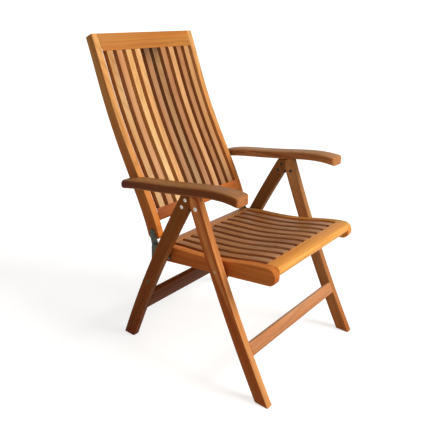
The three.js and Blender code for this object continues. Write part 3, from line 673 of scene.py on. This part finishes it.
for number, tint in enumerate(slat_tints.values(), start=1):
    knot = knotty if number in knotty_slats else plain
    wooden(f"back_slat_{number}", tint, slat_ease, head=knot, **slat_age_and_shade)
for side in sides:
    wooden(f"back_stile_{side}", stile_orange, **stile_age_and_shade)
crosswise("back_top_rail", clear_orange)
crosswise("back_bottom_rail", painted_shade_orange, right=painted_light_end)
print("back:", len(slat_tints), "slats, 2 stiles, 2 rails")

# %% [markdown]
# ## The seat
# The seat's slats are tinted darker and greyer than the back's. The left side rail darkens towards
# its rear as a painted shadow of the leg and arm, and the front rail's top is darkened as painted
# shade. The side rails have a half-round front end, and the front rail between them is rounded like
# a broom handle.

# %% Seat
seat_tints = (
    (169, 122, 79), (177, 129, 84), (162, 117, 75), (172, 126, 86), (159, 113, 73),
    (169, 122, 80), (176, 127, 81), (161, 117, 77), (171, 122, 79), (166, 120, 81),
)
# The slats' sides are darkened slightly as painted shade between them, and their front ends turn
# paler and greyer.
seat_age_and_shade = {"shaded_flanks": (1.0, 0.94, 0.88), "front": (1.12, 1.18, 1.3)}
rail_red = (200, 115, 54)
# The left rail darkens towards its rear as a painted shadow of the leg and arm. The rails' tops
# turn paler and greyer, partly weathering and partly a painted sheen.
rail_age_and_shade = {
    "left": {"up": (1.08, 1.2, 1.3), "rear": (0.8, 0.74, 0.7)},
    "right": {"up": (0.95, 1.2, 1.3), "front": (1.2, 1.4, 1.5)},
}
nose_golden = (252, 187, 98)
# The front rail's top face is darkened as painted shade.
nose_top_shade = (0.92, 0.86, 0.8)
seat_tan = (190, 130, 70)

for number, tint in enumerate(seat_tints, start=1):
    wooden(f"seat_slat_{number}", tint, slat_ease, **seat_age_and_shade)
for side in sides:
    wooden(f"seat_rail_{side}", rail_red, **rail_age_and_shade[side])
crosswise("seat_front_rail", nose_golden, up=nose_top_shade)
crosswise("seat_rear_rail", seat_tan)
print("seat:", len(seat_tints), "slats, 4 rails")

# %% [markdown]
# ## Cutting a blank to a machined solid
# The leg tops are slotted for the bracket and drilled for the bolts. Cutting those slots into the
# eased plank again would repeat the carpentry, so the blank is made a hair smaller and the
# machined CAD solid cuts it: what both share is an eased leg with every slot and hole in place.

# %% Machining
blank_shy = 0.00004


def merged_copy(node):
    """A closed copy of a CAD node with its doubles merged, for cutting with."""
    points, triangles = node_arrays(node)
    return mesh_piece(node + "_cutter", points, triangles.tolist())


def bake_modifiers(piece):
    """Replaces a piece's mesh by what its modifiers make of it."""
    graph = bpy.context.evaluated_depsgraph_get()
    baked = bpy.data.meshes.new_from_object(piece.evaluated_get(graph))
    piece.modifiers.clear()
    piece.data = baked


def machine(blank, node):
    """Keeps what a blank shares with a CAD solid, as a new mesh on the blank.

    At the end, large flat faces keep their own normals, so that only the eased edges look round.
    """
    cutter = merged_copy(node)
    blank.modifiers.new("triangles", "TRIANGULATE")
    cut = blank.modifiers.new("machining", "BOOLEAN")
    cut.operation = "INTERSECT"
    cut.solver = "MANIFOLD"
    cut.object = cutter
    bake_modifiers(blank)
    bpy.data.objects.remove(cutter)
    blank.data.polygons.foreach_set("use_smooth", np.ones(len(blank.data.polygons), bool))
    sharpen(blank, plank_crease)
    blank.modifiers.new("normals", "WEIGHTED_NORMAL").keep_sharp = True
    bake_modifiers(blank)
    return blank


print("a blank is", 1000 * blank_shy, "mm shy of its solid")

# %% [markdown]
# ## Legs
# The rear legs are tinted the darkest of the chair, partly their wood and partly painted shade, and
# the front ones among the lightest. Left and right differ, as planks do, and the right front leg is
# also darkened towards its foot as painted shade, as are the legs' outer faces. The stretchers
# between them run along x like the rails, and their tops are lightened, partly as painted light.

# %% Legs
leg_oranges = {"left": (212, 141, 83), "right": (190, 140, 92)}
# The rear legs' dark tint is partly their wood and partly painted shade.
leg_browns = {"left": (132, 84, 44), "right": (142, 100, 60)}
# The right front leg darkens towards its foot as painted shade; the left one turns paler and greyer
# there.
orange_feet = {"left": (1.02, 1.1, 1.18), "right": (0.94, 0.77, 0.62)}
# The front legs' outer faces are darkened and reddened as painted shade.
orange_outer_shade = (0.79, 0.62, 0.49)
# The rear legs' outer faces are darkened slightly as painted shade, and the legs darken towards the
# foot.
brown_age_and_shade = {"outer": (1.01, 0.92, 0.72), "foot": (0.9, 0.72, 0.46)}
stretcher_tan = (198, 132, 86)
stretcher_brown = (106, 58, 26)


def machined_leg(node, tint, **age_and_painted_light):
    """A leg cut from an eased blank."""
    low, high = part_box(node)
    outline = stand_in(soft_corners(side_outline(node), corner_radius), blank_shy)
    levels = (low.x + blank_shy, high.x - blank_shy)
    leg = machine(eased_plank(node + "_eased", outline, *levels, frame_ease), node)
    give_grain(leg, chord(node), tint_with_age_and_painted_light(leg, tint, **age_and_painted_light))
    dress(leg, node)


for side in sides:
    feet = orange_feet[side]
    machined_leg(f"front_leg_{side}", leg_oranges[side], outer=orange_outer_shade, foot=feet)
    machined_leg(f"rear_leg_{side}", leg_browns[side], **brown_age_and_shade)
# The front stretcher's top turns paler and greyer, partly weathering and partly painted light; the
# rear one's top is lightened as painted light.
crosswise("front_stretcher", stretcher_tan, up=(1.1, 1.3, 1.5))
crosswise("rear_stretcher", stretcher_brown, up=(1.1, 1.1, 1.1))
print("legs: 4, stretchers: 2")

# %% [markdown]
# ## Arms
# An arm is a plank that is rounded in plan, gently arched along its length, and eased all round so
# that a hand slides over it. Outline and extrusion can't give both curves, so it is a section
# carried along the arm: at each place along y, a rounded rectangle as wide as the plan is there
# and as high as the plank, lifted by the arch. Near the ends the section shrinks along a quarter
# circle, which eases the end faces.

# %% Arms
arm_ease = 0.008
arm_front_ease = 0.0045
arm_rear_ease = 0.0138
ease_reach = 0.06
arm_front_outer = 0.012
arm_front_inner = 0.016
arm_rear_radius = 0.028
arm_rings = 90
arch_degree = 4
side_shrink = 0.5
half_room = 0.48


def arch_of(node):
    """The middle height of an arm as a smooth curve in y, and its thickness, from its outline.

    A quartic through all points of the rim runs between its top and its underside, and one
    through the points above it is the top.
    """
    y, z = side_outline(node).T
    between = np.polynomial.Polynomial.fit(y, z, arch_degree)
    upper = z > between(y)
    top = np.polynomial.Polynomial.fit(y[upper], z[upper], arch_degree)
    thickness = np.median(top(y[~upper]) - z[~upper])
    return top - thickness / 2, thickness


def corner_inset(distance, radius):
    """How far a rounded corner stands in at a distance from the end: r - sqrt(r^2 - (r - d)^2)."""
    short = np.clip(radius - distance, 0, radius)
    return radius - np.sqrt(radius ** 2 - short ** 2)


def rounded_section(width_low, width_high, height, ease, steps=6):
    """Points of rounded rectangles, one for each row of widths, heights and easings.

    They run counter-clockwise: a corner's point at angle t is its centre + r (cos t, sin t). The
    corner radius r is the easing, or nearly half of the width or height where that is less.
    """
    angle = np.linspace(0, math.pi / 2, steps)
    turn = angle[None, :] + np.arange(4)[:, None] * math.pi / 2
    right = np.array([1, 0, 0, 1])[:, None]
    top = np.array([1, 1, 0, 0])[:, None]
    low, high, tall = (row[:, None, None] for row in (width_low, width_high, height))
    round_off = np.minimum(ease[:, None, None], half_room * np.minimum(high - low, tall))
    across = np.where(right, high - round_off, low + round_off) + round_off * np.cos(turn)
    up = np.where(top, tall / 2 - round_off, round_off - tall / 2) + round_off * np.sin(turn)
    rows = len(width_low)
    return across.reshape(rows, -1), up.reshape(rows, -1)


def arm_blank(side):
    """The arm as a tube of rounded rectangles.

    With a going from 0 to pi in even steps, they lie at length (1 - cos a) / 2 from the rear, so
    they are closest together near the ends. Each fits the plan and the thickness at its place.
    """
    node = f"arm_{side}"
    low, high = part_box(node)
    length = high.y - low.y
    to_rear = length * (1 - np.cos(np.linspace(0, math.pi, arm_rings))) / 2
    to_front = length - to_rear
    shrink = corner_inset(to_front, arm_front_ease) + corner_inset(to_rear, arm_rear_ease)
    inner = corner_inset(to_front, arm_front_inner) + corner_inset(to_rear, arm_rear_radius)
    outer = corner_inset(to_front, arm_front_outer) + corner_inset(to_rear, arm_rear_radius)
    inset_low, inset_high = (outer, inner) if side == "left" else (inner, outer)
    width_low = low.x + inset_low + side_shrink * shrink + blank_shy
    width_high = high.x - inset_high - side_shrink * shrink - blank_shy
    ends = np.clip(1 - np.stack([to_front, to_rear]) / ease_reach, 0, 1)
    to_front_ease, to_rear_ease = arm_front_ease - arm_ease, arm_rear_ease - arm_ease
    ease = arm_ease + ends[0] * to_front_ease + ends[1] * to_rear_ease
    tall = arm_depth - 2 * shrink - 2 * blank_shy
    across, up = rounded_section(width_low, width_high, tall, ease)
    along = high.y - to_rear
    y = np.broadcast_to(along[:, None], across.shape)
    points = np.stack([across, y, arm_line(along)[:, None] + up], axis=-1).reshape(-1, 3)
    return mesh_piece(node + "_eased", points, ring_faces(*across.shape))


arm_line, arm_depth = arch_of("arm_right")
arm_browns = {"left": (168, 113, 71), "right": (182, 128, 84)}
# The arms' outer sides and rounded rear ends are darkened as painted shade; their tops turn a
# little greyer and their front ends paler.
arm_age_and_shade = {
    "up": (0.92, 0.98, 0.98),
    "outer": (0.66, 0.53, 0.32),
    "front": (1.16, 1.14, 1.12),
    "rear": (0.54, 0.5, 0.5),
}
for side in sides:
    arm = machine(arm_blank(side), f"arm_{side}")
    give_grain(arm, [0, 1, 0], tint_with_age_and_painted_light(arm, arm_browns[side], **arm_age_and_shade))
    dress(arm, f"arm_{side}")
print("arms: 2,", round(1000 * arm_depth, 1), "mm thick")

# %% [markdown]
# ## Bolts, pins and studs
# Everything round is a profile turned about an axis, as on a lathe. The nuts have six flats: the
# same turning, with a radius that follows a hexagon between two rings. The sizes come from the
# boxes of the CAD bolts, so the shafts end where the carpentry expects them.

# %% Turned parts
turned_around = 48
turned_crease = 38
chamfer_share = 0.12
dome_rings = 8
rim_share = 0.25
socket_floor = 0.4
socket_taper = 0.96
nut_outer, nut_bearing = 0.82, 0.86


def turn(name, centre, profile):
    """A surface turned about an x axis through centre, from rows of x, radius and flatness.

    At angle t the radius is r (1 + flatness (cos 30 / cos(t mod 60 - 30) - 1)), so flatness 1 is
    a hexagon whose corners reach r.
    """
    x, radius, flatness = np.array(profile, float).T[:, :, None]
    t = np.linspace(0, 2 * math.pi, turned_around, endpoint=False)[None, :]
    sector = np.mod(t, math.pi / 3) - math.pi / 6
    hexagon = math.cos(math.pi / 6) / np.cos(sector)
    reach = radius * (1 + flatness * (hexagon - 1))
    y = centre[0] + reach * np.cos(t)
    z = centre[1] + reach * np.sin(t)
    points = np.stack([np.broadcast_to(x, y.shape), y, z], axis=-1).reshape(-1, 3)
    piece = mesh_piece(name, points, ring_faces(len(profile), turned_around))
    return sharpen(piece, turned_crease)


def mirrored(profile, side):
    """A profile is written for the right side; the left side's is reversed, with x negated."""
    return profile if side == "right" else [(-x, r, f) for x, r, f in reversed(profile)]


def domed_head(base, radius, rise, socket):
    """Profile of a domed head, from its rim to the floor of the socket sunk into its crown.

    At angle a the dome's height is rise (s + (1 - s) sin a), with s the rim's share, and its
    radius is r cos a.
    """
    angles = np.linspace(0, math.pi / 2, dome_rings)
    heights = base + rim_share * rise + (1 - rim_share) * rise * np.sin(angles)
    rim = zip(heights.tolist(), (radius * np.cos(angles)).tolist())
    dome = [(x, r, 0) for x, r in rim if r > socket]
    crown = [(base + rise, socket, 0), (base + socket_floor * rise, socket_taper * socket, 1)]
    return [(base, radius, 0), *dome, *crown]


def centre_of(node):
    """The y and z of the middle of a node's box, where its axis runs."""
    low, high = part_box(node)
    return ((low.y + high.y) / 2, (low.z + high.z) / 2)


def span_of(node):
    """The inner and outer distance of a node's box from the middle plane."""
    low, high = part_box(node)
    return sorted((abs(low.x), abs(high.x)))


def hex_nut(start, end, radius):
    """Profile of a nut with chamfered corners, from its outer face to its bearing face."""
    chamfer = chamfer_share * radius
    return [
        (start, nut_outer * radius, 0),
        (start + chamfer, radius, 1),
        (end - chamfer, radius, 1),
        (end, nut_bearing * radius, 0),
    ]


def turned(node, word, side, profile, finish):
    """A turned piece on a CAD fastener's axis, whose profile is written for the right side."""
    dress(turn(f"{node}_{word}", centre_of(node), mirrored(profile, side)), node, finish)


print("turned parts use", turned_around, "points around")

# %% [markdown]
# ## Leg bolts
# Three bolts hold each pair of legs to the arm's bracket. Their domed heads shine on the outside,
# and their dull nuts sit in pockets on the inside, so each CAD bolt gives two pieces.

# %% Leg bolts
nut_radius = 0.0064
nut_depth = 0.0057
tip_chamfer = 0.0006
tip_share = 0.8
crown_socket = 0.0021
joint_gap = 0.0003


def leg_bolt(node, side, shaft, rise):
    """A bright bolt with a domed head outside, and its dull nut in the pocket inside the leg."""
    low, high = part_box(node)
    inside, outside = span_of(node)
    base = outside - rise
    nut_end = inside + nut_depth
    nut_start = inside + tip_chamfer
    head = domed_head(base, (high.z - low.z) / 2, rise, crown_socket)
    bolt = [(nut_end + joint_gap, shaft, 0), (base, shaft, 0), *head]
    tip = [(inside, tip_share * shaft, 0), (nut_start, shaft, 0)]
    turned(node, "bolt", side, bolt, "bright_steel")
    turned(node, "nut", side, [*tip, *hex_nut(nut_start, nut_end, nut_radius)], "dark_steel")


for side in sides:
    leg_bolt(f"front_pivot_bolt_{side}", side, shaft=0.0045, rise=0.0035)
    for number in (1, 2):
        leg_bolt(f"rear_leg_bolt_{side}_{number}", side, shaft=0.004, rise=0.003)
print("leg bolts: 6, nuts: 6")

# %% [markdown]
# ## Pivots of the seat, the stays and the hinge
# These bolts pass through two parts that turn against each other, so each has a spacer between
# them. Where a spacer starts and ends follows from the boxes of the parts beside it. The hinge
# pins are plain rods.

# %% Pivots
pivot_head_rise = 0.002
seat_sleeve_radius = 0.0078
collar_radius = 0.0054
pivot_shaft = 0.004
pin_radius = 0.0045
strap_depth = 0.003


def collar(start, end, radius, chamfer=None):
    """Profile of a spacer, pin or washer with small chamfers."""
    chamfer = chamfer or chamfer_share * radius
    slim = radius - chamfer
    return [
        (start, slim, 0), (start + chamfer, radius, 0), (end - chamfer, radius, 0), (end, slim, 0),
    ]


def shaft_between(start, end):
    """Profile of a bare stretch of a pivot's shaft."""
    return [(start, pivot_shaft, 0), (end, pivot_shaft, 0)]


def pivot_end(start, outside):
    """Profile of a pivot bolt through a leg, with its small domed head outside."""
    base = outside - pivot_head_rise
    head = domed_head(base, collar_radius, pivot_head_rise, crown_socket)
    return [*shaft_between(start, base), *head]


def seat_pivot_bolt(side):
    """Nut, shaft through the seat's rail, spacer, and shaft through the front leg."""
    node = f"seat_pivot_bolt_{side}"
    inside, outside = span_of(node)
    rail_inner, rail_outer = span_of(f"seat_rail_{side}")
    leg_start = span_of(f"front_leg_{side}")[0] - joint_gap
    rail_start, rail_end = rail_inner - joint_gap, rail_outer + joint_gap
    profile = [
        *hex_nut(inside, rail_start, nut_radius),
        *shaft_between(rail_start, rail_end),
        *collar(rail_end, leg_start, seat_sleeve_radius),
        *pivot_end(leg_start, outside),
    ]
    turned(node, "turned", side, profile, "brown_steel")


def stay_bolt(side):
    """Spacer, shaft through the stay's eye, another spacer, and shaft through the rear leg."""
    node = f"stay_bolt_{side}"
    inside, outside = span_of(node)
    leg_start = span_of(f"rear_leg_{side}")[0] - joint_gap
    eye_inner = inside + strap_depth + joint_gap
    eye_outer = inside + 2 * strap_depth + joint_gap
    profile = [
        *collar(inside, eye_inner - joint_gap, collar_radius),
        *shaft_between(eye_inner - joint_gap, eye_outer + joint_gap),
        *collar(eye_outer + joint_gap, leg_start, collar_radius),
        *pivot_end(leg_start, outside),
    ]
    turned(node, "turned", side, profile, "dark_steel")


for side in sides:
    seat_pivot_bolt(side)
    stay_bolt(side)
    pin = f"hinge_pin_{side}"
    turned(pin, "turned", side, collar(*span_of(pin), pin_radius), "bright_steel")
print("pivot bolts: 4, hinge pins: 2")

# %% [markdown]
# ## Recline studs
# A stud screws into the edge of each stile behind a washer, and its bare end runs along the
# rack's notches. Washer and end have the tiny chamfers that catch the light on turned metal.

# %% Studs
stud_radius = 0.003
stud_chamfer = 0.0008
washer_radius = 0.007
washer_depth = 0.0012
washer_chamfer = 0.0003


def recline_stud(side):
    """Shaft in the stile, washer, and the bare end outside."""
    node = f"recline_stud_{side}"
    inside, outside = span_of(node)
    washer = span_of(f"back_stile_{side}")[1] + joint_gap
    washer_end = washer + washer_depth
    profile = [
        (inside, stud_radius, 0),
        (washer, stud_radius, 0),
        *collar(washer, washer_end, washer_radius, washer_chamfer),
        (washer_end, stud_radius, 0),
        (outside - stud_chamfer, stud_radius, 0),
        (outside, stud_radius - stud_chamfer, 0),
    ]
    turned(node, "turned", side, profile, "bright_steel")


for side in sides:
    recline_stud(side)
print("recline studs: 2")

# %% [markdown]
# ## Hinge plates and racks
# Plates are thin planks of metal, so they reuse the outline of the CAD node with a much finer
# easing, and the racks keep their notches that way.

# %% Plates
plate_ease = 0.0005
plate_steps = 2
plate_kinds = ("seat_hinge_plate", "back_hinge_plate", "recline_rack")


def metal_outline(node):
    """A node's outline with its corners just broken."""
    return soft_corners(side_outline(node), 2 * plate_ease)


def plate(node):
    """A flat metal plate in place of a CAD node."""
    low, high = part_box(node)
    outline = metal_outline(node)
    dress(eased_plank(node + "_eased", outline, low.x, high.x, plate_ease, plate_steps), node)


for side in sides:
    for kind in plate_kinds:
        plate(f"{kind}_{side}")
print("plates:", 2 * len(plate_kinds))

# %% [markdown]
# ## Stays
# A stay is a strap with a domed rivet at its upper eye. Outlines are read from the face with the
# greatest x. On the left stay that is the flat side of the strap, and on the right one it is the
# rivet, so the left stay's outline serves both.

# %% Stays
rivet_radius = 0.008
rivet_rise = 0.0025
rivet_foot = 0.0005
rivet_socket = 0.001
rivet_taper = 0.97


def stay(side):
    """The strap, and the rivet on its outer face."""
    node = f"stay_{side}"
    inside = span_of(node)[0]
    base = inside + strap_depth
    levels = (inside, base) if side == "right" else (-base, -inside)
    outline = metal_outline("stay_left")
    dress(eased_plank(node + "_strap", outline, *levels, plate_ease, plate_steps), node)
    foot = (base - rivet_foot, rivet_taper * rivet_radius, 0)
    rivet = [foot, *domed_head(base, rivet_radius, rivet_rise, rivet_socket)]
    dress(turn(node + "_rivet", centre_of(f"hinge_pin_{side}"), mirrored(rivet, side)), node)


for side in sides:
    stay(side)
print("stays: 2 straps, 2 rivets")

# %% [markdown]
# ## Plate screws
# Small screws hold the plates to the wood: two domed ones in the seat's plate, and two nearly
# flush ones in the back's, in line with its strap. The CAD leaves them out, so they replace
# nothing and only ride along.

# %% Screws
screw_radius = 0.0034
screw_socket = 0.0011
domed_rise = 0.0012
flush_rise = 0.0004
seat_screws = ((0.0405, 0.3655), (0.0625, 0.3775))
back_screws = (0.45, 0.95)
strap_end_margin = 0.012


def screw(name, side, under, plate_node, centre, rise, finish):
    """A small socketed screw head on a plate, moving with the wood under it."""
    face = span_of(plate_node)[1]
    profile = mirrored(domed_head(face, screw_radius, rise, screw_socket), side)
    piece = turn(f"{name}_{side}", centre, profile)
    piece.data.materials.append(finishes[finish])
    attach(piece, body_of_node[under])


def plate_screws(side):
    """The four screws of one side."""
    seat_plate, back_plate = f"seat_hinge_plate_{side}", f"back_hinge_plate_{side}"
    for number, place in enumerate(seat_screws, start=1):
        name, under = f"seat_plate_screw_{number}", f"seat_rail_{side}"
        screw(name, side, under, seat_plate, place, domed_rise, "bright_steel")
    eye = np.array(centre_of(f"hinge_pin_{side}"))
    outline = side_outline(back_plate)
    end = outline[np.linalg.norm(outline - eye, axis=1).argmax()]
    inward = strap_end_margin * (eye - end) / np.linalg.norm(eye - end)
    for number, share in enumerate(back_screws, start=1):
        name, under = f"back_plate_screw_{number}", f"back_stile_{side}"
        place = eye + share * (end + inward - eye)
        screw(name, side, under, back_plate, place, flush_rise, "dark_steel")


for side in sides:
    plate_screws(side)
print("plate screws:", 2 * (len(seat_screws) + len(back_screws)))

# %% [markdown]
# ## Brackets
# Only the two brackets between arms and legs keep their CAD mesh. They are hidden in the wood
# almost everywhere, and need no more than a finish.

# %% Brackets
for node, finish in slot_of_node.items():
    solid = frame["nodes"][node]
    if not solid.hide_render:
        solid.data.materials.clear()
        solid.data.materials.append(finishes[finish])
        print("kept as it is:", node)

# %% [markdown]
# ## Floor
# A white studio: the floor is pale and matte, and looks white to the camera where it is lit. Its
# glow is only for the camera and for reflections, so it doesn't light the chair, and the chair's
# own shadow stays on it.

# %% Floor
floor_half = 40.0
floor_glow = 0.66
floor_grey = (0.62, 0.62, 0.61, 1)
floor_roughness = 0.9
black, white = (0, 0, 0, 1), (1, 1, 1, 1)


def seen_white(start):
    """1 for rays from the camera and for reflections, which should meet white, and 0 for others."""
    camera_ray = start.make("ShaderNodeLightPath", output="Is Camera Ray")
    glossy_ray = start.make("ShaderNodeLightPath", output="Is Glossy Ray")
    return start.math("MAXIMUM", camera_ray, glossy_ray)


def floor_material():
    """A pale matte floor that glows for the camera and keeps the chair's shadow."""
    material, start, shader = new_material("studio_floor")
    shader.inputs["Base Color"].default_value = floor_grey
    shader.inputs["Roughness"].default_value = floor_roughness
    tones = {0: seen_white(start), 6: black, 7: white}
    glow = start.make("ShaderNodeMix", {"data_type": "RGBA"}, tones, output=2)
    glow.feed(shader, "Emission Color")
    shader.inputs["Emission Strength"].default_value = floor_glow
    return material


corners = floor_half * np.array([[-1, -1, 0], [1, -1, 0], [1, 1, 0], [-1, 1, 0]], float)
floor = mesh_piece("studio_floor", corners, [[0, 1, 2, 3]])
floor.data.materials.append(floor_material())
print("floor:", 2 * floor_half, "m wide")

# %% [markdown]
# ## Light
# One broad light comes from above the front right, low enough that faces turned to the front are
# bright and the outer sides fall into shade. It has no falloff, so it shines evenly over the floor
# and only the chair's shadow is darker. A small soft lamp on the left gives the bolt heads their
# glints. The world adds a little light to the chair, and is plain white to the camera.

# %% World and lamps
ambient_strength = 0.27
key_strength = 2.5
key_softness = math.radians(28)
key_from = Vector((0.36, -1.0, 0.86))
key_colour = (1.0, 0.96, 0.9)
glint_place = Vector((-2.6, -1.0, 1.7))
glint_target = Vector((0, 0, 0.5))
glint_size = 0.9
glint_power = 5
glint_colour = (1.0, 0.98, 0.96)


def white_world():
    """Soft light for the chair, and plain white for camera rays and reflections."""
    world = bpy.data.worlds.new("studio_world")
    bpy.context.scene.world = world
    world.use_nodes = True
    background = world.node_tree.nodes["Background"]
    background.inputs["Color"].default_value = white
    strength = ambient_strength + (1 - ambient_strength) * seen_white(Wire(world.node_tree))
    strength.feed(background, "Strength")


def add_lamp(name, kind, energy, colour, towards):
    """A lamp of a kind that shines in a direction."""
    light = bpy.data.lights.new(name, kind)
    light.energy = energy
    light.color = colour
    return aim(name, light, towards)


white_world()
key = add_lamp("key_light", "SUN", key_strength, key_colour, -key_from)
key.data.angle = key_softness
glint = add_lamp("glint_lamp", "AREA", glint_power, glint_colour, glint_target - glint_place)
glint.location = glint_place
glint.data.shape = "SQUARE"
glint.data.size = glint_size
bpy.context.scene.view_settings.view_transform = "Standard"
print("lights: 2")

# %% Finish
print("planks with grain:", plank_count)
